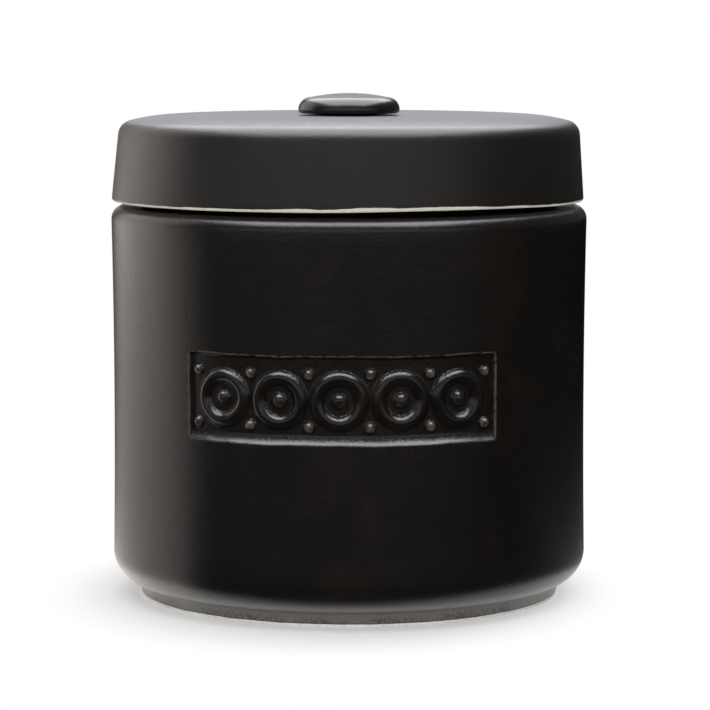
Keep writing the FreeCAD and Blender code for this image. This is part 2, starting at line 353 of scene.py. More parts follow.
class Graph:
    """A node tree, with one method that adds any node and short ones for the usual nodes."""

    def __init__(self, tree: bpy.types.NodeTree) -> None:
        """Empty the tree of a material or a world."""
        self.tree = tree
        self.tree.nodes.clear()

    def node(self, kind: str, inputs: Optional[Dict[Union[str, int], object]] = None,
             **settings: object) -> bpy.types.Node:
        """Add a node.

        Args:
            kind: the node's type.
            inputs: numbers, colours or links for its sockets, by name or place.
            settings: its own settings.

        Returns:
            The new node.
        """
        made = self.tree.nodes.new(kind)
        for key, setting in settings.items():
            setattr(made, key, setting)
        for key, source in (inputs or {}).items():
            if isinstance(source, Value):
                source = source.socket
            if isinstance(source, bpy.types.NodeSocket):
                self.tree.links.new(source, made.inputs[key])
            else:
                made.inputs[key].default_value = source
        return made

    def math(self, operation: str, first: Operand, second: Operand = 0.0) -> Value:
        """Add a Math node on one or two numbers and give its result."""
        node = self.node("ShaderNodeMath", {0: first, 1: second}, operation=operation)
        return Value(self, node.outputs[0])

    def noise(self, place: bpy.types.NodeSocket, grain: Grain) -> Value:
        """Noise that reads a place on the piece.

        Args:
            place: vector socket.
            grain: how fine the noise is.

        Returns:
            A number round 0.5.
        """
        scale, detail, roughness = grain.value
        inputs = {"Vector": place, "Scale": scale, "Detail": detail, "Roughness": roughness}
        return Value(self, self.node("ShaderNodeTexNoise", inputs).outputs["Fac"])

    def attribute(self, name: str) -> Value:
        """Number painted on the vertices, or 0 on a piece that has none."""
        node = self.node("ShaderNodeAttribute", attribute_name=name)
        return Value(self, node.outputs["Fac"])

    def is_ray(self, kind: str) -> Value:
        """1 for rays of a kind, such as Camera or Glossy, and 0 for others."""
        return Value(self, self.node("ShaderNodeLightPath").outputs[f"Is {kind} Ray"])

    def blend(self, share: Operand, first: object, second: object) -> bpy.types.NodeSocket:
        """Mix two colours, each plain or linked: 0 gives the first, 1 the second."""
        inputs = {0: share, 6: self._colour(first), 7: self._colour(second)}
        return self.node("ShaderNodeMix", inputs, data_type="RGBA").outputs[2]

    @staticmethod
    def _colour(source: object) -> object:
        """Give a plain colour its alpha, and leave a socket as it is."""
        return (*source, 1.0) if isinstance(source, tuple) and len(source) == 3 else source

    def mix(self, share: Value, first: bpy.types.Node, second: bpy.types.Node) -> bpy.types.Node:
        """Mix two shaders: 0 gives the first, 1 the second."""
        return self.node("ShaderNodeMixShader",
                         {0: share, 1: first.outputs[0], 2: second.outputs[0]})

    def finish(self, shader: bpy.types.Node) -> None:
        """Make a shader the surface of the material."""
        self.node("ShaderNodeOutputMaterial", {"Surface": shader.outputs[0]})

    def place_in_mm(self) -> bpy.types.NodeSocket:
        """Object coordinates in millimetres."""
        inputs = {0: self.node("ShaderNodeTexCoord").outputs["Object"], "Scale": 1.0 / MM}
        return self.node("ShaderNodeVectorMath", inputs, operation="SCALE").outputs["Vector"]

    def axes(self, place: bpy.types.NodeSocket) -> Tuple[Value, Value, Value]:
        """X, Y and Z of a place."""
        outputs = self.node("ShaderNodeSeparateXYZ", {"Vector": place}).outputs
        return Value(self, outputs["X"]), Value(self, outputs["Y"]), Value(self, outputs["Z"])

    def relief(self, height: Value, depth: float, under: object = None) -> bpy.types.NodeSocket:
        """Bump from a height.

        Args:
            height: number from 0 to 1.
            depth: height of 1, in millimetres.
            under: normal that the bump adds to, if any.

        Returns:
            A normal.
        """
        inputs: Dict[Union[str, int], object] = {"Height": height, "Distance": depth * MM}
        if under is not None:
            inputs["Normal"] = under
        return self.node("ShaderNodeBump", inputs).outputs["Normal"]


def new_material(name: str) -> Tuple[bpy.types.Material, Graph]:
    """Make an empty node material.

    Args:
        name: its name.

    Returns:
        The material and its node tree.
    """
    material = bpy.data.materials.new(name)
    material.use_nodes = True
    return material, Graph(material.node_tree)


@dataclass
class Coat:
    """A glaze while its material is made: where it lies and how it looks so far."""

    graph: Graph
    place: bpy.types.NodeSocket
    height: Value
    colour: bpy.types.NodeSocket
    rough: Value
    normal: bpy.types.NodeSocket


@dataclass(frozen=True)
class BareClay:
    """Where the glaze stops above a piece's lowest edge and shows the clay."""

    edge_height: float
    rise: float
    wave: float
    attribute: Optional[str] = None


@dataclass(frozen=True)
class SatinGlaze:
    """Black satin glaze over pale stoneware.

    It breaks to brown on raised edges, pits in hollows and leaves bare clay at an edge that
    stood in the kiln.
    """

    name: str
    bare: Optional[BareClay] = None
    foot_height: float = 0.0
    black: Colour = (0.0048, 0.0036, 0.0027)
    umber: Colour = (0.0068, 0.0047, 0.0034)
    thin: Colour = (0.080, 0.065, 0.054)
    thin_share: float = 0.85
    # Grey of the foot band: thin glaze, and a painted highlight above the crease.
    dry_and_sheen: Colour = (0.112, 0.100, 0.090)
    fringe: Colour = (0.020, 0.012, 0.008)
    clay: Colour = (0.54, 0.505, 0.44)
    clay_speck: Colour = (0.30, 0.25, 0.19)
    ior: float = 1.6
    roughness: float = 0.30
    unevenness: float = 0.10
    pooled_gloss: float = 0.13
    edge_gloss: float = 0.08
    pit_roughness: float = 0.25
    wiped_roughness: float = 0.12
    clay_roughness: float = 0.9
    grit: float = 0.0025
    peel: float = 0.030
    pit_depth: float = 0.16
    speck_depth: float = 0.05

    def build(self) -> bpy.types.Material:
        """Make the material.

        Returns:
            A material that reads Object coordinates and the attributes ridge, hollow and
            pitted.
        """
        material, graph = new_material(self.name)
        place = graph.place_in_mm()
        mottle = graph.noise(place, Grain.MOTTLE)
        grit = graph.noise(place, Grain.GRIT)
        ridge = graph.attribute("ridge")
        pits = graph.noise(place, Grain.PITS).rise(0.47, 0.56) * graph.attribute("pitted")
        worn = ridge.rise(0.25, 0.8) * graph.noise(place, Grain.WEAR).rise(0.25, 0.65)
        colour = graph.blend(mottle.rise(0.45, 0.75), self.black, self.umber)
        colour = graph.blend(worn * self.thin_share, colour, self.thin)
        rough = self.roughness + (mottle - 0.5) * self.unevenness + (grit - 0.5) * self.unevenness
        rough = (rough - graph.attribute("hollow") * self.pooled_gloss
                 - ridge * self.edge_gloss + pits * self.pit_roughness)
        normal = graph.relief(graph.noise(place, Grain.PEEL), self.peel)
        normal = graph.relief(grit, self.grit, normal)
        normal = graph.relief(1.0 - pits, self.pit_depth, normal)
        coat = Coat(graph, place, graph.axes(place)[2], colour, rough, normal)
        if self.foot_height:
            self._wipe_foot_and_paint_sheen(coat)
        if self.bare:
            self._bare_edge(coat)
        graph.finish(graph.node("ShaderNodeBsdfPrincipled", {
            "Base Color": coat.colour, "Roughness": coat.rough, "Normal": coat.normal,
            "IOR": self.ior}))
        return material

    def _wipe_foot_and_paint_sheen(self, coat: Coat) -> None:
        """Roughen and speckle the glaze on the foot, where a wipe thinned it, and lighten it to a
        grey band a little above the crease that is partly thin glaze and partly a painted
        highlight.

        Args:
            coat: the glaze, which is changed.
        """
        # Mask of the foot band, for its roughness and for its grey, which is partly a painted
        # highlight.
        wiped_band_and_sheen = 1.0 - coat.height.rise(self.foot_height - 0.3, self.foot_height + 3.2)
        low = 1.0 - coat.height.rise(self.foot_height - 2.0, self.foot_height - 0.2)
        specks = 1.0 - coat.graph.noise(coat.place, Grain.SPECKS).rise(0.44, 0.56)
        patches = coat.graph.noise(coat.place, Grain.PATCHES).rise(0.30, 0.58)
        dark = specks * patches * (low * 0.75 + 0.25) * wiped_band_and_sheen
        coat.colour = coat.graph.blend(wiped_band_and_sheen * (1.0 - dark * 0.85), coat.colour, self.dry_and_sheen)
        coat.rough = coat.rough + wiped_band_and_sheen * self.wiped_roughness
        coat.normal = coat.graph.relief(1.0 - dark, self.speck_depth, coat.normal)

    def _bare_edge(self, coat: Coat) -> None:
        """Show the clay under a wavy glaze line.

        Args:
            coat: the glaze, which is changed.
        """
        graph, bare = coat.graph, self.bare
        waves = (graph.noise(coat.place, Grain.GLAZE_LINE) - 0.5) * bare.wave
        above = coat.height - (bare.edge_height + bare.rise) - waves
        if bare.attribute:
            above = above - graph.attribute(bare.attribute)
        glazed = above.rise(-0.05, 0.05)
        clay_share = 1.0 - glazed
        fringe_share = glazed * (1.0 - above.rise(0.10, 0.45)) * 0.8
        dust = graph.noise(coat.place, Grain.DUST)
        clay = graph.blend(dust.rise(0.56, 0.72), self.clay, self.clay_speck)
        coat.colour = graph.blend(fringe_share, coat.colour, self.fringe)
        coat.colour = graph.blend(clay_share, coat.colour, clay)
        coat.rough = coat.rough * (1.0 - clay_share) + clay_share * self.clay_roughness
        coat.normal = graph.relief(dust, self.speck_depth, coat.normal)


@dataclass(frozen=True)
class Steel:
    """Stainless steel, brushed round the rim or drawn into wire."""

    name: str
    colour: Colour = (0.56, 0.55, 0.53)
    stained: float = 0.78
    roughness: float = 0.30
    stain_roughness: float = 0.12
    brushed: float = 1.0
    brush_roughness: float = 0.22
    brush_depth: float = 0.004
    brush_waves: float = 9.0
    brush_turns: float = 5.0

    def build(self) -> bpy.types.Material:
        """Make the material.

        Returns:
            A material whose brushing runs round the vertical axis.
        """
        material, graph = new_material(self.name)
        place = graph.place_in_mm()
        across, along, height = graph.axes(place)
        radius = across.hypot(along) * self.brush_waves
        angle = graph.math("ARCTAN2", along, across) * self.brush_turns
        ring = graph.node("ShaderNodeCombineXYZ", {
            "X": radius, "Y": height * self.brush_waves, "Z": angle})
        brush = graph.noise(ring.outputs["Vector"], Grain.BRUSHING)
        stain = graph.noise(place, Grain.STAIN)
        colour = graph.blend(stain.rise(0.45, 0.75) * 0.5, self.colour,
                             tuple(self.stained * part for part in self.colour))
        rough = (self.roughness + (brush - 0.5) * (self.brush_roughness * self.brushed)
                 + (stain - 0.5) * self.stain_roughness)
        graph.finish(graph.node("ShaderNodeBsdfPrincipled", {
            "Base Color": colour, "Roughness": rough, "Metallic": 1.0,
            "Normal": graph.relief(brush, self.brush_depth * self.brushed)}))
        return material


def finish_piece(piece: bpy.types.Object, material: bpy.types.Material, body: Body,
                 slot: str, *nodes: str) -> None:
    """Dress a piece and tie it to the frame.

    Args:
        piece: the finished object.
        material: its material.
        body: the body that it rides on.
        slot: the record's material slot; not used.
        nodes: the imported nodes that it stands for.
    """
    piece.data.materials.clear()
    piece.data.materials.append(material)
    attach(piece, body.value)
    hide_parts(*nodes)
    log.info("%s: %d faces, rides on %s", piece.name, len(piece.data.polygons), body.value)


@dataclass
class FrontPanel:
    """Sunken panel on the jar's front with a row of raised rings and bosses."""

    bottom: float = 44.6
    top: float = 65.9
    half_angle: float = 38.3
    depth: float = 1.25
    bottom_bevel: float = 2.5
    top_bevel: float = 0.8
    side_bevel: float = 0.9
    wall_radius: float = 59.6
    pitch: float = 14.3
    count: int = 5
    ring_radius: float = 5.4
    stroke: float = 1.85
    stroke_height: float = 1.25
    dome_fullness: float = 0.95
    boss: float = 1.95
    side_boss: float = 1.45
    side_boss_rise: float = 6.3
    edge_wobble: float = 0.12
    ornament_wobble: float = 0.14
    margin: float = 1.0
    side_margin: float = 1.3
    reach_in: float = 2.5
    slack: float = 0.05
    cuts: int = 4
    sample: float = 0.3
    ridge_bend: float = 3.2
    hollow_bend: float = 4.0
    pool_slope: float = 0.25
    pool_span: float = 0.6
    pit_from: float = 0.45
    pit_span: float = 0.35

    @property
    def half_length(self) -> float:
        """Half the panel's length along the wall."""
        return math.radians(self.half_angle) * self.wall_radius

    @property
    def middle(self) -> float:
        """Height of the panel's middle."""
        return (self.bottom + self.top) / 2

    def sunk(self, along: np.ndarray, up: np.ndarray) -> np.ndarray:
        """How far the surface has gone down into the panel.

        Args:
            along: place along the wall from the panel's middle.
            up: height above the foot.

        Returns:
            0 outside the panel and 1 on its floor.
        """
        wobble = self.edge_wobble * ripple(along, up, 0.7)
        ledge = settle((up - self.bottom + wobble) / self.bottom_bevel)
        lintel = chamfer((self.top - up + wobble) / self.top_bevel)
        cheek = chamfer((self.half_length - np.abs(along) + wobble) / self.side_bevel)
        return np.minimum(np.minimum(ledge, lintel), cheek)

    def dome(self, distance: np.ndarray, width: float) -> np.ndarray:
        """Rounded section: 1 on a stroke's middle line and 0 at half its width."""
        return np.clip(1.0 - (distance / width) ** 2.0, 0.0, 1.0) ** self.dome_fullness

    def raised(self, along: np.ndarray, up: np.ndarray) -> np.ndarray:
        """Height of the ornament above the panel's floor.

        Args:
            along: place along the wall from the panel's middle.
            up: height above the foot.

        Returns:
            Height in millimetres.
        """
        pitch = math.radians(self.pitch) * self.wall_radius
        along = along + self.ornament_wobble * ripple(along, up, 2.1)
        up = up - self.middle + self.ornament_wobble * ripple(up, along, 4.4)
        height = np.zeros_like(along)
        for index in range(self.count):
            reach = np.hypot(along - (index - (self.count - 1) / 2) * pitch, up)
            height = np.maximum(height, self.dome(np.abs(reach - self.ring_radius), self.stroke))
            height = np.maximum(height, self.dome(reach, self.boss))
        for index in range(self.count + 1):
            off = along - (index - self.count / 2) * pitch
            for side in (-1.0, 1.0):
                nearest = np.hypot(off, up - side * self.side_boss_rise)
                height = np.maximum(height, self.dome(nearest, self.side_boss))
        return height * self.stroke_height

    def offset(self, along: np.ndarray, up: np.ndarray) -> np.ndarray:
        """How far the glazed surface stands out from the plain wall, negative in the panel."""
        return self.sunk(along, up) * (self.raised(along, up) - self.depth)

    def bend(self, along: np.ndarray, up: np.ndarray) -> np.ndarray:
        """Curvature of the surface, where the glaze runs thin or gathers.

        Args:
            along: place along the wall from the panel's middle.
            up: height above the foot.

        Returns:
            Positive on raised edges and negative in hollows.
        """
        step = self.sample
        around = (self.offset(along + step, up) + self.offset(along - step, up)
                  + self.offset(along, up + step) + self.offset(along, up - step))
        return (4.0 * self.offset(along, up) - around) / step ** 2

    def pooled(self, along: np.ndarray, up: np.ndarray) -> np.ndarray:
        """Where the glaze ran down and pooled: on what faces up.

        Args:
            along: place along the wall from the panel's middle.
            up: height above the foot.

        Returns:
            0 to 1.
        """
        step = self.sample
        slope = (self.offset(along, up - step) - self.offset(along, up + step)) / (2 * step)
        return ease((slope - self.pool_slope) / self.pool_span)

    def pitted(self, along: np.ndarray, up: np.ndarray) -> np.ndarray:
        """Where the pooled glaze is pitted: 1 deep down in the panel and 0 outside it."""
        deep = ease((-self.offset(along, up) / self.depth - self.pit_from) / self.pit_span)
        return deep * self.pooled(along, up)

    def window(self, places: np.ndarray) -> np.ndarray:
        """Whether points lie on the jar's front in or near the panel.

        Args:
            places: one row for each point, in millimetres.

        Returns:
            True or false for each point.
        """
        angle = np.degrees(np.arctan2(places[:, 0], -places[:, 1]))
        radius = np.hypot(places[:, 0], places[:, 1])
        half_height = (self.top - self.bottom) / 2 + self.margin + self.slack
        return ((np.abs(angle) < self.half_angle + self.side_margin)
                & (radius > self.wall_radius - self.reach_in)
                & (np.abs(places[:, 2] - self.middle) < half_height))


@dataclass
class Jar:
    """The jar: foot ring, wall with a slight waist, shoulder, neck and glazed inside."""

    foot_radius: float = 52.9
    foot_inner_radius: float = 46.2
    foot_recess: float = 1.8
    foot_chamfer: float = 0.25
    foot_round: float = 0.3
    foot_flare: float = 0.02
    crease_height: float = 3.4
    base_low: float = 3.25
    base_round: float = 8.0
    belly_radius: float = 59.93
    bow_radius: float = 2225.0
    rim_radius: float = 59.98
    rim_round: float = 3.4
    shoulder: float = 98.5
    neck_radius: float = 52.0
    root_round: float = 1.2
    neck_top: float = 115.0
    lip_round: float = 1.3
    mouth_radius: float = 47.3
    throat: float = 100.4
    throat_round: float = 8.0
    bore_radius: float = 54.6
    floor: float = 7.5
    floor_round: float = 6.0
    back_steps: int = 112
    panel: FrontPanel = field(default_factory=FrontPanel)

    def wall_radius(self, up: Numbers) -> Numbers:
        """Radius of the plain wall, which is drawn in a little at its waist.

        Args:
            up: height above the foot.

        Returns:
            Distance from the axis.
        """
        low = self.base_low + self.base_round
        high = self.shoulder - self.rim_round
        share = (up - low) / (high - low)
        chord = math.hypot(high - low, self.rim_radius - self.belly_radius)
        sag = chord ** 2 / (8.0 * self.bow_radius)
        straight = self.belly_radius + (self.rim_radius - self.belly_radius) * share
        return straight - sag * 4.0 * share * (1.0 - share)

    def wall_heights(self) -> List[float]:
        """Heights of the rows of the wall, close together at the panel."""
        panel = self.panel
        low = self.base_low + self.base_round
        spans = (
            (panel.bottom - panel.margin, 3.5),
            (panel.top + panel.margin, 1.0),
            (self.shoulder - self.rim_round, 3.5),
        )
        heights = [low]
        for end, step in spans:
            start = heights[-1]
            count = math.ceil((end - start) / step)
            heights += [start + (end - start) * index / count for index in range(1, count + 1)]
        return heights

    def outline(self) -> List[Point]:
        """Half section, from the underside round the outside and back down the inside."""
        low = self.base_low + self.base_round
        reach = math.sqrt(self.base_round ** 2 - (low - self.crease_height) ** 2)
        drop = 2 * self.throat_round * math.sqrt(
            1 - (1 - (self.bore_radius - self.mouth_radius) / (2 * self.throat_round)) ** 2)
        section = Outline(0.0, self.foot_recess)
        section.line(self.foot_inner_radius - self.foot_recess, self.foot_recess, 9.0)
        section.line(self.foot_inner_radius, self.foot_chamfer, 0.8)
        section.line(self.foot_inner_radius + self.foot_chamfer, 0.0)
        section.line(self.foot_radius - self.foot_round, 0.0, 2.5)
        section.arc(self.foot_radius + self.foot_flare, self.foot_round, self.foot_round,
                    Turn.LEFT, 0.1)
        section.line(self.belly_radius - self.base_round + reach, self.crease_height, 0.35)
        section.arc(self.belly_radius, low, self.base_round, Turn.LEFT, 0.6)
        section.points += [(self.wall_radius(up), up) for up in self.wall_heights()[1:]]
        section.arc(self.rim_radius - self.rim_round, self.shoulder, self.rim_round, Turn.LEFT, 0.3)
        section.line(self.neck_radius + self.root_round, self.shoulder, 1.5)
        section.arc(self.neck_radius, self.shoulder + self.root_round, self.root_round,
                    Turn.RIGHT, 0.4)
        section.line(self.neck_radius, self.neck_top - self.lip_round, 4.0)
        section.arc(self.neck_radius - self.lip_round, self.neck_top, self.lip_round,
                    Turn.LEFT, 0.35)
        section.line(self.mouth_radius + self.lip_round, self.neck_top)
        section.arc(self.mouth_radius, self.neck_top - self.lip_round, self.lip_round,
                    Turn.LEFT, 0.35)
        section.line(self.mouth_radius, self.throat, 4.0)
        section.arc((self.mouth_radius + self.bore_radius) / 2, self.throat - drop / 2,
                    self.throat_round, Turn.LEFT, 1.2)
        section.arc(self.bore_radius, self.throat - drop, self.throat_round, Turn.RIGHT, 1.2)
        section.line(self.bore_radius, self.floor + self.floor_round, 12.0)
        section.arc(self.bore_radius - self.floor_round, self.floor, self.floor_round,
                    Turn.RIGHT, 1.2)
        section.line(0.0, self.floor, 9.0)
        return section.points

    def press_panel(self, piece: bpy.types.Object) -> None:
        """Refine the wall at the panel, press the panel in and mark how the glaze lies there.

        Args:
            piece: the turned jar.
        """
        mesh = piece.data
        panel = self.panel
        centres = np.empty(len(mesh.polygons) * 3)
        mesh.polygons.foreach_get("center", centres)
        inside = panel.window(centres.reshape(-1, 3) / MM)
        mesh.vertices.foreach_set("select", np.zeros(len(mesh.vertices), dtype=bool))
        mesh.edges.foreach_set("select", np.zeros(len(mesh.edges), dtype=bool))
        mesh.polygons.foreach_set("select", inside)
        select_only(piece)
        bpy.ops.object.mode_set(mode="EDIT")
        bpy.ops.mesh.select_mode(type="FACE")
        bpy.ops.mesh.subdivide(number_cuts=panel.cuts)
        bpy.ops.mesh.select_mode(type="VERT")
        bpy.ops.object.mode_set(mode="OBJECT")
        places = read_points(piece)
        inside = panel.window(places)
        angle = np.arctan2(places[:, 0], -places[:, 1])
        up = places[:, 2]
        along = angle * panel.wall_radius
        radius = self.wall_radius(up) + panel.offset(along, up)
        places[inside, 0] = (radius * np.sin(angle))[inside]
        places[inside, 1] = (-radius * np.cos(angle))[inside]
        write_points(piece, places)
        bend = np.where(inside, panel.bend(along, up), 0.0)
        pooled = np.where(inside, panel.pooled(along, up), 0.0)
        hollow = np.clip(-bend / panel.hollow_bend, 0.0, 1.0)
        paint(piece, "ridge", np.clip(bend / panel.ridge_bend, 0.0, 1.0))
        paint(piece, "hollow", np.maximum(hollow, pooled))
        paint(piece, "pitted", np.where(inside, panel.pitted(along, up), 0.0))

    def build(self) -> None:
        """Turn the jar, press the panel into it and dress it."""
        front = round(self.panel.half_angle + self.panel.side_margin)
        sectors = (Sector(2.0 * front, 2 * front), Sector(360.0 - 2.0 * front, self.back_steps))
        piece = turned("stoneware_jar", self.outline(), sectors, -90.0 - front)
        self.press_panel(piece)
        soften(piece)
        # The jar's bare clay is pale stoneware set much lighter than the lid's, which also paints
        # light onto the clay line in the shade at the floor.
        glaze = SatinGlaze("jar_black_glaze", BareClay(0.0, 0.75, 0.35),
                           foot_height=self.crease_height, clay=(0.92, 0.89, 0.84),
                           roughness=0.26)
        finish_piece(piece, glaze.build(), Body.JAR, "jar_glaze", "jar")


@dataclass
class Lid:
    """Cap lid and its button knob."""

    skirt_bottom: float = 100.0
    skirt_radius: float = 59.5
    skirt_inner_radius: float = 54.9
    edge_round: float = 0.5
    crown_radius: float = 58.15
    crown_start: float = 116.3
    crown_round: float = 3.8
    crown_edge: Point = (55.4, 119.65)
    bow_radius: float = 46.0
    dish_radius: float = 43.0
    top: float = 121.1
    underside: float = 115.5
    seat_radius: float = 50.5
    relief: float = 0.3
    inner_round: float = 1.0
    pad_radius: float = 9.0
    pad_height: float = 121.0
    knob_neck: float = 7.0
    knob_flare: float = 1.2
    knob_under: float = 121.45
    knob_radius: float = 12.8
    under_round: float = 0.9
    knob_round: float = 3.15
    knob_rise: float = 1.0
    lean: float = 0.35
    edge_band: float = 3.0
    edge_wave: float = 0.10
    front_sag: float = 0.5
    front_sag_at: float = -14.0
    front_sag_width: float = 30.0
    back_sag: float = 0.35
    back_sag_from: float = 20.0
    back_sag_over: float = 45.0
    clay_front: float = 0.5
    clay_front_at: float = 8.0
    clay_front_width: float = 34.0
    clay_ragged: float = 0.16
    clay_on_sag: float = 0.9

    def outline(self) -> List[Point]:
        """Half section of the cap."""
        section = Outline(0.0, self.underside)
        section.line(self.seat_radius, self.underside, 9.0)
        section.line(self.skirt_inner_radius - self.inner_round, self.underside + self.relief)
        section.arc(self.skirt_inner_radius, self.underside + self.relief - self.inner_round,
                    self.inner_round, Turn.RIGHT, 0.3)
        section.line(self.skirt_inner_radius, self.skirt_bottom + self.edge_round, 3.0)
        section.arc(self.skirt_inner_radius + self.edge_round, self.skirt_bottom,
                    self.edge_round, Turn.LEFT, 0.2)
        section.line(self.skirt_radius - self.edge_round, self.skirt_bottom, 1.0)
        section.arc(self.skirt_radius, self.skirt_bottom + self.edge_round, self.edge_round,
                    Turn.LEFT, 0.12)
        section.line(self.crown_radius, self.crown_start, 1.2)
        section.arc(*self.crown_edge, self.crown_round, Turn.LEFT, 0.35)
        section.arc(self.dish_radius, self.top, self.bow_radius, Turn.LEFT, 1.2)
        section.line(self.pad_radius, self.pad_height, 4.0)
        section.line(0.0, self.pad_height, 3.0)
        return section.points

    def build_cap(self) -> None:
        """Turn the cap, make it a little uneven and dress it."""
        piece = turned("stoneware_lid", self.outline())
        places = read_points(piece)
        degrees = np.degrees(np.arctan2(places[:, 0], -places[:, 1]))
        up = places[:, 2]
        drop = np.clip((self.crown_start - up) / (self.crown_start - self.skirt_bottom), 0.0, 1.0)
        places[:, 0] -= self.lean * drop
        low = np.clip((self.skirt_bottom + self.edge_band - up) / self.edge_band, 0.0, 1.0)
        front_sag = np.exp(-((degrees - self.front_sag_at) / self.front_sag_width) ** 2)
        back_sag = ease((np.abs(degrees) - self.back_sag_from) / self.back_sag_over)
        sag = self.front_sag * front_sag + self.back_sag * back_sag
        waves = self.edge_wave * (1.0 + ripple(degrees * 0.22, 0.0, 1.3))
        places[:, 2] += low * (waves - sag)
        write_points(piece, places)
        front = np.exp(-((degrees - self.clay_front_at) / self.clay_front_width) ** 2)
        ragged = self.clay_ragged * ripple(degrees * 1.3, degrees * 0.7, 5.1) * front
        paint(piece, "clay_rise", self.clay_front * front + ragged - self.clay_on_sag * sag)
        soften(piece)
        glaze = SatinGlaze("lid_black_glaze",
                           BareClay(self.skirt_bottom, 0.55, 0.5, "clay_rise"),
                           roughness=0.39)
        finish_piece(piece, glaze.build(), Body.LID, "lid_glaze", "lid")

    def build_knob(self) -> None:
        """Turn the knob and dress it."""
        side_top = self.knob_under + self.under_round + self.knob_round
        flat = self.knob_radius - self.knob_round
        dome = (flat ** 2 + self.knob_rise ** 2) / (2 * self.knob_rise)
        section = Outline(0.0, self.pad_height)
        section.line(self.knob_neck, self.pad_height, 2.0)
        section.line(self.knob_neck + self.knob_flare, self.knob_under, 0.5)
        section.line(self.knob_radius - self.under_round, self.knob_under, 1.0)
        section.arc(self.knob_radius, self.knob_under + self.under_round, self.under_round,
                    Turn.LEFT, 0.2)
        section.arc(flat, side_top, self.knob_round, Turn.LEFT, 0.3)
        section.arc(0.0, side_top + self.knob_rise, dome, Turn.LEFT, 0.8)
        piece = turned("stoneware_knob", section.points, (Sector(360.0, 128),))
        soften(piece)
        glaze = SatinGlaze("knob_black_glaze", roughness=0.28, grit=0.0006, peel=0.005)
        finish_piece(piece, glaze.build(), Body.LID, "knob_glaze", "lid_knob")


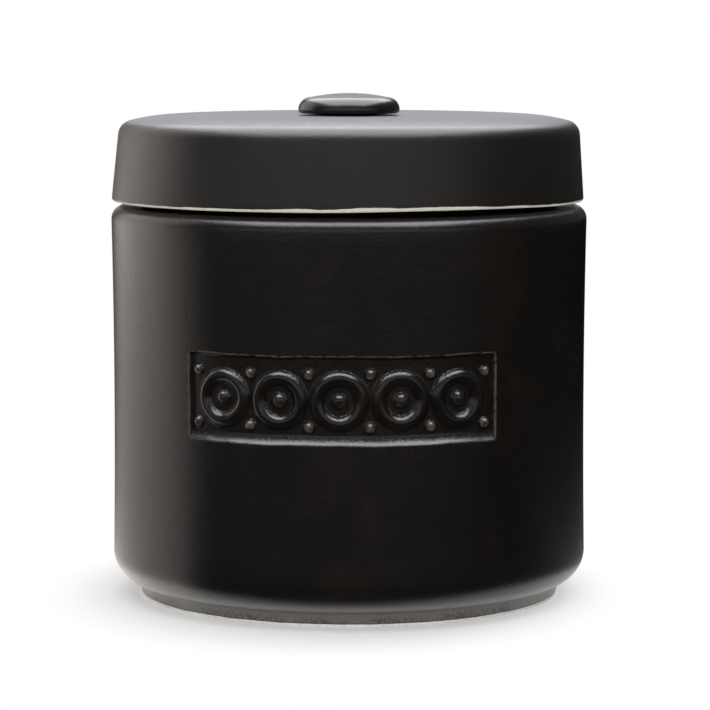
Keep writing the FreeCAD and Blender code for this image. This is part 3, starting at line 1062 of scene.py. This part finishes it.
@dataclass
class Strainer:
    """Lift-out strainer: sheet rim curled round a wire, woven mesh bowl, clamp ring."""

    sheet: float = 0.5
    collar_radius: float = 45.6
    collar_bottom: float = 105.0
    flange_bottom: float = 115.0
    bend: float = 0.6
    curl_radius: float = 53.25
    wire_radius: float = 0.45
    mesh_wall: float = 0.6
    mesh_top: float = 110.5
    side: Point = (43.0, 93.6)
    corner_round: float = 13.06
    floor_edge: Point = (31.5, 83.3)
    bottom: float = 82.0
    clamp: float = 0.6
    clamp_bottom: float = 105.6
    clamp_chamfer: float = 0.15
    clamp_round: float = 0.25
    mesh_pitch: float = 1.3
    mesh_wire: float = 0.16
    mesh_inset: float = 0.2
    crimp: float = 0.9

    def build_rim(self) -> None:
        """Turn the collar, flange and curl as one sheet."""
        collar = self.collar_radius + self.sheet
        bend = collar + self.bend
        wire_up = self.flange_bottom - self.wire_radius
        outer = self.wire_radius + self.sheet
        side = math.cos(math.radians(30.0))
        section = Outline(self.collar_radius, self.collar_bottom)
        section.line(collar, self.collar_bottom)
        section.line(collar, self.flange_bottom - self.bend, 3.0)
        section.arc(bend, self.flange_bottom, self.bend, Turn.RIGHT, 0.15)
        section.line(self.curl_radius, self.flange_bottom, 2.0)
        for across in (side, -side):
            section.arc(self.curl_radius + across * self.wire_radius,
                        wire_up - 0.5 * self.wire_radius, self.wire_radius, Turn.RIGHT, 0.2)
        section.line(self.curl_radius - side * outer, wire_up - 0.5 * outer)
        section.arc(self.curl_radius + side * outer, wire_up - 0.5 * outer, outer,
                    Turn.LEFT, 0.2)
        section.arc(self.curl_radius, self.flange_bottom + self.sheet, outer, Turn.LEFT, 0.2)
        section.line(bend, self.flange_bottom + self.sheet, 2.0)
        section.arc(self.collar_radius, self.flange_bottom - self.bend,
                    self.bend + self.sheet, Turn.LEFT, 0.2)
        section.line(self.collar_radius, self.collar_bottom, 3.0)
        piece = turned("steel_rim", section.points)
        soften(piece)
        finish_piece(piece, Steel("rim_brushed_steel").build(), Body.STRAINER,
                     "rim_steel", "strainer_rim")

    def build_clamp(self) -> None:
        """Turn the hoop that holds the mesh in the collar."""
        outer = self.collar_radius - self.mesh_wall
        inner = outer - self.clamp
        lip = self.mesh_top + self.clamp
        section = Outline(inner, self.clamp_bottom + self.clamp_chamfer)
        section.line(inner + self.clamp_chamfer, self.clamp_bottom)
        section.line(outer, self.clamp_bottom)
        section.line(outer, self.mesh_top, 2.0)
        section.line(self.collar_radius, self.mesh_top)
        section.line(self.collar_radius, lip)
        section.line(inner + self.clamp_round, lip)
        section.arc(inner, lip - self.clamp_round, self.clamp_round, Turn.LEFT, 0.1)
        section.line(inner, self.clamp_bottom + self.clamp_chamfer, 2.0)
        piece = turned("steel_clamp_ring", section.points)
        soften(piece)
        finish_piece(piece, Steel("clamp_rolled_steel", roughness=0.34).build(),
                     Body.STRAINER, "clamp_steel", "strainer_clamp_ring")

    def bowl_path(self) -> np.ndarray:
        """Middle line of the bowl's wall, from the axis out to the mesh's cut edge.

        Returns:
            One row for each point: length so far, distance from the axis, height.
        """
        half = self.mesh_wall / 2
        rise = self.floor_edge[1] - self.bottom
        sag = (self.floor_edge[0] ** 2 + rise ** 2) / (2 * rise)
        section = Outline(0.0, self.bottom + half)
        section.arc(self.floor_edge[0], self.floor_edge[1] + half, sag, Turn.LEFT, 0.8)
        section.arc(self.side[0] - half, self.side[1], self.corner_round - half, Turn.LEFT, 0.8)
        section.line(self.collar_radius - half, self.collar_bottom, 0.8)
        section.line(self.collar_radius - half, self.mesh_top - self.mesh_inset, 0.8)
        points = np.array(section.points)
        steps = np.hypot(*np.diff(points, axis=0).T)
        return np.column_stack((np.concatenate(([0.0], np.cumsum(steps))), points))

    def wire(self, path: np.ndarray, fixed: int, lengthways: bool) -> np.ndarray:
        """One wire of the cloth, pressed into the bowl.

        Args:
            path: middle line of the bowl's wall.
            fixed: number of the wire, counted from the middle.
            lengthways: true for a wire along X before pressing.

        Returns:
            One row for each point, in millimetres, or no rows outside the cloth.
        """
        reach = path[-1, 0]
        offset = fixed * self.mesh_pitch
        if abs(offset) >= reach:
            return np.empty((0, 3))
        last = int(math.sqrt(reach ** 2 - offset ** 2) / self.mesh_pitch)
        places = np.arange(-last, last + 1)
        first, second = places * self.mesh_pitch, np.full(len(places), offset)
        over = np.where((places + fixed) % 2 == 0, 1.0, -1.0)
        if not lengthways:
            first, second = second, first
            over = -over
        away = np.hypot(first, second)
        radius = np.interp(away, path[:, 0], path[:, 1])
        height = np.interp(away, path[:, 0], path[:, 2])
        slope_out = np.gradient(path[:, 1], path[:, 0])
        slope_up = np.gradient(path[:, 2], path[:, 0])
        lift = over * self.mesh_wire * self.crimp
        radius = radius - lift * np.interp(away, path[:, 0], slope_up)
        height = height + lift * np.interp(away, path[:, 0], slope_out)
        safe = np.maximum(away, 1e-9)
        return np.column_stack((radius * first / safe, radius * second / safe, height))

    def build_mesh(self) -> None:
        """Weave the wire cloth in the bowl's shape."""
        path = self.bowl_path()
        curve = bpy.data.curves.new("woven_mesh", "CURVE")
        curve.dimensions = "3D"
        curve.bevel_depth = self.mesh_wire * MM
        curve.bevel_resolution = 0
        curve.use_fill_caps = True
        last = int(path[-1, 0] / self.mesh_pitch)
        for lengthways in (True, False):
            for fixed in range(-last, last + 1):
                places = self.wire(path, fixed, lengthways)
                if len(places) < 3:
                    continue
                spline = curve.splines.new("POLY")
                spline.points.add(len(places) - 1)
                flat = np.column_stack((places * MM, np.ones(len(places))))
                spline.points.foreach_set("co", flat.ravel())
        piece = bpy.data.objects.new("woven_mesh", curve)
        bpy.context.collection.objects.link(piece)
        select_only(piece)
        bpy.ops.object.convert(target="MESH")
        bpy.ops.object.shade_smooth()
        steel = Steel("mesh_drawn_steel", roughness=0.28, brushed=0.2)
        finish_piece(bpy.context.object, steel.build(), Body.STRAINER,
                     "mesh_steel", "strainer_mesh")

    def dress_wire(self) -> None:
        """Give the wire in the curl its finish."""
        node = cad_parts["strainer_rim_wire"]
        node.data.materials.clear()
        node.data.materials.append(Steel("rim_wire_steel", brushed=0.3).build())
        log.info("strainer_rim_wire: dressed as it is")


@dataclass(frozen=True)
class PanelLamp:
    """Soft rectangular lamp that faces the object."""

    name: str
    place: Tuple[float, float, float]
    size: Point
    level: float
    colour: Colour = (1.0, 1.0, 1.0)
    rays: Rays = Rays.ALL
    aim: Tuple[float, float, float] = (0.0, 0.0, 60.0)

    def hang(self) -> None:
        """Add the lamp, with a level at which 1 is as bright as white paper."""
        data = bpy.data.lights.new(self.name, "AREA")
        data.shape = "RECTANGLE"
        data.size, data.size_y = self.size[0] * MM, self.size[1] * MM
        data.energy = self.level * math.pi * data.size * data.size_y
        data.color = self.colour
        lamp = bpy.data.objects.new(self.name, data)
        lamp.location = Vector(self.place) * MM
        facing = (Vector(self.aim) - Vector(self.place)).to_track_quat("-Z", "Y")
        lamp.rotation_euler = facing.to_euler()
        lamp.visible_camera = False
        lamp.visible_diffuse, lamp.visible_glossy = self.rays.value
        bpy.context.collection.objects.link(lamp)


@dataclass
class WhiteFloor:
    """White floor that keeps the object's shadow, shaped by a painted shadow disc, and fades to
    pure white.

    To the camera it is paper near the object and glows pure white further out, which paints
    a darker shadow disc round the object. It glows a little for other rays too, which lights
    the object from below. In reflections it shows a painted reflection: glows next to the
    foot, behind the object and on a warm stretch to its left.
    A pair is where a change starts and ends, in millimetres or radians. Each fade has its
    length and its share.
    """

    size: float = 8000.0
    paper: float = 0.72
    indirect_glow: float = 0.3
    shadow: Point = (61.0, 93.0)
    shadow_white: float = 0.38
    shadow_shift: float = 4.0
    shadow_squeeze: float = 1.55
    # The painted reflection: where its glows lie and how bright they are.
    behind: Point = (-50.0, 30.0)
    behind_right: Point = (15.0, 80.0)
    behind_right_loss: float = 0.55
    all_round: float = 0.05
    fade_start: float = 60.0
    fades: Tuple[Point, Point] = ((30.0, 0.75), (150.0, 0.25))
    contact_glow: Point = (55.0, 63.0)
    contact_glow_level: float = 0.9
    contact_widening: float = 11.0
    wall_reach: float = 36.6
    left_glow_ring: Point = (52.0, 66.0)
    left_glow_start: Point = (1.28, 1.52)
    left_glow_end: Point = (2.40, 2.85)
    left_glow_level: float = 0.78
    left_glow_tint: Colour = (1.0, 0.93, 0.88)

    def white_glow_share(self, graph: Graph, across: Value, along: Value) -> Value:
        """How far the floor glows pure white and not paper, which paints the shadow disc.

        Args:
            graph: the floor's node tree.
            across: place to the right of the axis.
            along: place behind the axis.

        Returns:
            0 to 1, lower under the object and for light that the floor gives off.
        """
        seen = graph.is_ray("Camera")
        # For rays other than the camera's the floor still glows, at a lower share: painted light on
        # the object from below.
        direct = seen + (1.0 - seen) * self.indirect_glow
        # Painted shadow: the glow fades in over a disc that is squeezed across and shifted left of
        # the axis.
        aside = across + self.shadow_shift
        spread = (aside * aside * self.shadow_squeeze + along * along) ** 0.5
        white = self.shadow_white + spread.rise(*self.shadow) * (1.0 - self.shadow_white)
        return white * direct

    def painted_reflection(self, graph: Graph, across: Value, along: Value) -> bpy.types.Node:
        """Painted reflection: what the object's glossy surfaces see of the floor, a glow of chosen
        brightness.

        Args:
            graph: the floor's node tree.
            across: place to the right of the axis.
            along: place behind the axis.

        Returns:
            An emission shader.
        """
        radius = across.hypot(along)
        # Painted reflection of the floor behind the object, dimmer to the right.
        right = across.rise(*self.behind_right)
        behind = along.rise(*self.behind) * (1.0 - right * self.behind_right_loss)
        near = graph.math("MAXIMUM", radius - self.fade_start, 0.0)
        quick, slow = (graph.math("EXPONENT", near / -length) * share
                       for length, share in self.fades)
        # Painted glow in a ring next to the foot, wider at the sides.
        beside = across * across / (radius * radius) * self.contact_widening
        contact_glow = (1.0 - (radius - beside).rise(*self.contact_glow)) * (1.0 - behind)
        # Painted warm glow on the stretch to the left, in place of floor lit by the left softbox.
        around = (graph.math("ARCTAN2", -across, -along)
                  + graph.math("ARCSINE", self.wall_reach / radius))
        painted_left_glow = (around.rise(*self.left_glow_start) * (1.0 - around.rise(*self.left_glow_end))
               * radius.rise(*self.left_glow_ring))
        painted_sheen = ((self.all_round + behind) * (quick + slow)
                 + contact_glow * self.contact_glow_level + painted_left_glow * self.left_glow_level)
        tint = graph.blend(painted_left_glow, (1.0, 1.0, 1.0), self.left_glow_tint)
        return graph.node("ShaderNodeEmission", {"Color": tint, "Strength": painted_sheen})

    def lay(self) -> None:
        """Add the floor and dress it."""
        deselect_all()
        bpy.ops.mesh.primitive_plane_add(size=self.size * MM)
        floor = bpy.context.object
        floor.name = "floor"
        material, graph = new_material("white_floor")
        across, along, _ = graph.axes(graph.place_in_mm())
        paper = graph.node("ShaderNodeBsdfDiffuse", {"Color": (*(self.paper,) * 3, 1.0)})
        white = graph.node("ShaderNodeEmission", {"Color": (1.0, 1.0, 1.0, 1.0)})
        ground = graph.mix(self.white_glow_share(graph, across, along), paper, white)
        painted_reflection = self.painted_reflection(graph, across, along)
        # Glossy rays see the painted reflection in place of the floor.
        graph.finish(graph.mix(graph.is_ray("Glossy"), ground, painted_reflection))
        floor.data.materials.append(material)


@dataclass
class Studio:
    """Camera, world and lamps, as in a product photograph on a white ground."""

    camera_distance: float = 789.1
    camera_height: float = 143.3
    camera_turn: float = 2.2
    camera_tilt: float = 6.02
    lens: float = 158.2
    sensor: float = 36.0
    axis_pixel: float = 349.0
    ambient: float = 0.25
    surround: float = 0.07
    lamps: Tuple[PanelLamp, ...] = (
        PanelLamp("overhead_softbox", (0.0, 420.0, 1120.0), (1700.0, 2500.0), 5.4,
                  (0.97, 0.98, 1.03), Rays.GLOSSY, (0.0, 420.0, 0.0)),
        PanelLamp("overhead_fill", (0.0, 0.0, 1100.0), (1500.0, 1500.0), 2.0, rays=Rays.MATT),
        PanelLamp("front_fill", (0.0, -1200.0, 350.0), (1400.0, 600.0), 3.0, rays=Rays.MATT),
        PanelLamp("front_card", (0.0, -1900.0, 520.0), (7000.0, 620.0), 0.66,
                  (1.0, 0.97, 0.95), Rays.GLOSSY),
        PanelLamp("left_softbox", (-760.0, 400.0, 250.0), (860.0, 1000.0), 1.15,
                  (1.05, 0.96, 0.91)),
        PanelLamp("back_card", (-170.0, 2000.0, 560.0), (960.0, 1100.0), 0.62,
                  (0.97, 0.98, 1.03), Rays.GLOSSY),
    )

    def build(self) -> None:
        """Make everything round the object."""
        scene = bpy.context.scene
        scene.view_settings.view_transform = "Standard"
        self.add_camera(scene)
        WhiteFloor().lay()
        self.add_world(scene)
        for lamp in self.lamps:
            lamp.hang()

    def add_camera(self, scene: bpy.types.Scene) -> None:
        """Put the camera where the photograph was taken from.

        Args:
            scene: the scene that looks through it.
        """
        data = bpy.data.cameras.new("camera")
        data.lens = self.lens
        data.sensor_width = self.sensor
        data.clip_start = 0.05
        data.clip_end = 50.0
        data.shift_x = (PHOTO_WIDTH / 2 - self.axis_pixel) / PHOTO_WIDTH
        camera = bpy.data.objects.new("camera", data)
        turn = math.radians(self.camera_turn)
        camera.location = (self.camera_distance * math.sin(turn) * MM,
                           -self.camera_distance * math.cos(turn) * MM,
                           self.camera_height * MM)
        camera.rotation_euler = (math.radians(90.0 - self.camera_tilt), 0.0, turn)
        bpy.context.collection.objects.link(camera)
        scene.camera = camera

    def add_world(self, scene: bpy.types.Scene) -> None:
        """Make the ground white to the camera and dim to the object.

        Args:
            scene: the scene whose world it is.
        """
        world = bpy.data.worlds.new("studio")
        world.use_nodes = True
        graph = Graph(world.node_tree)
        seen = graph.is_ray("Camera")
        mirrored = graph.is_ray("Glossy") + graph.is_ray("Transmission")
        level = seen + (1.0 - seen) * (self.ambient + mirrored * (self.surround - self.ambient))
        light = graph.node("ShaderNodeBackground",
                           {"Color": (1.0, 1.0, 1.0, 1.0), "Strength": level})
        graph.node("ShaderNodeOutputWorld", {"Surface": light.outputs[0]})
        scene.world = world


def main() -> None:
    """Build the pieces in order, then the studio."""
    logging.basicConfig(level=logging.INFO, format="%(name)s: %(message)s")
    Jar().build()
    lid = Lid()
    lid.build_cap()
    lid.build_knob()
    strainer = Strainer()
    strainer.build_rim()
    strainer.build_mesh()
    strainer.build_clamp()
    strainer.dress_wire()
    Studio().build()


if __name__ == "__main__":
    main()
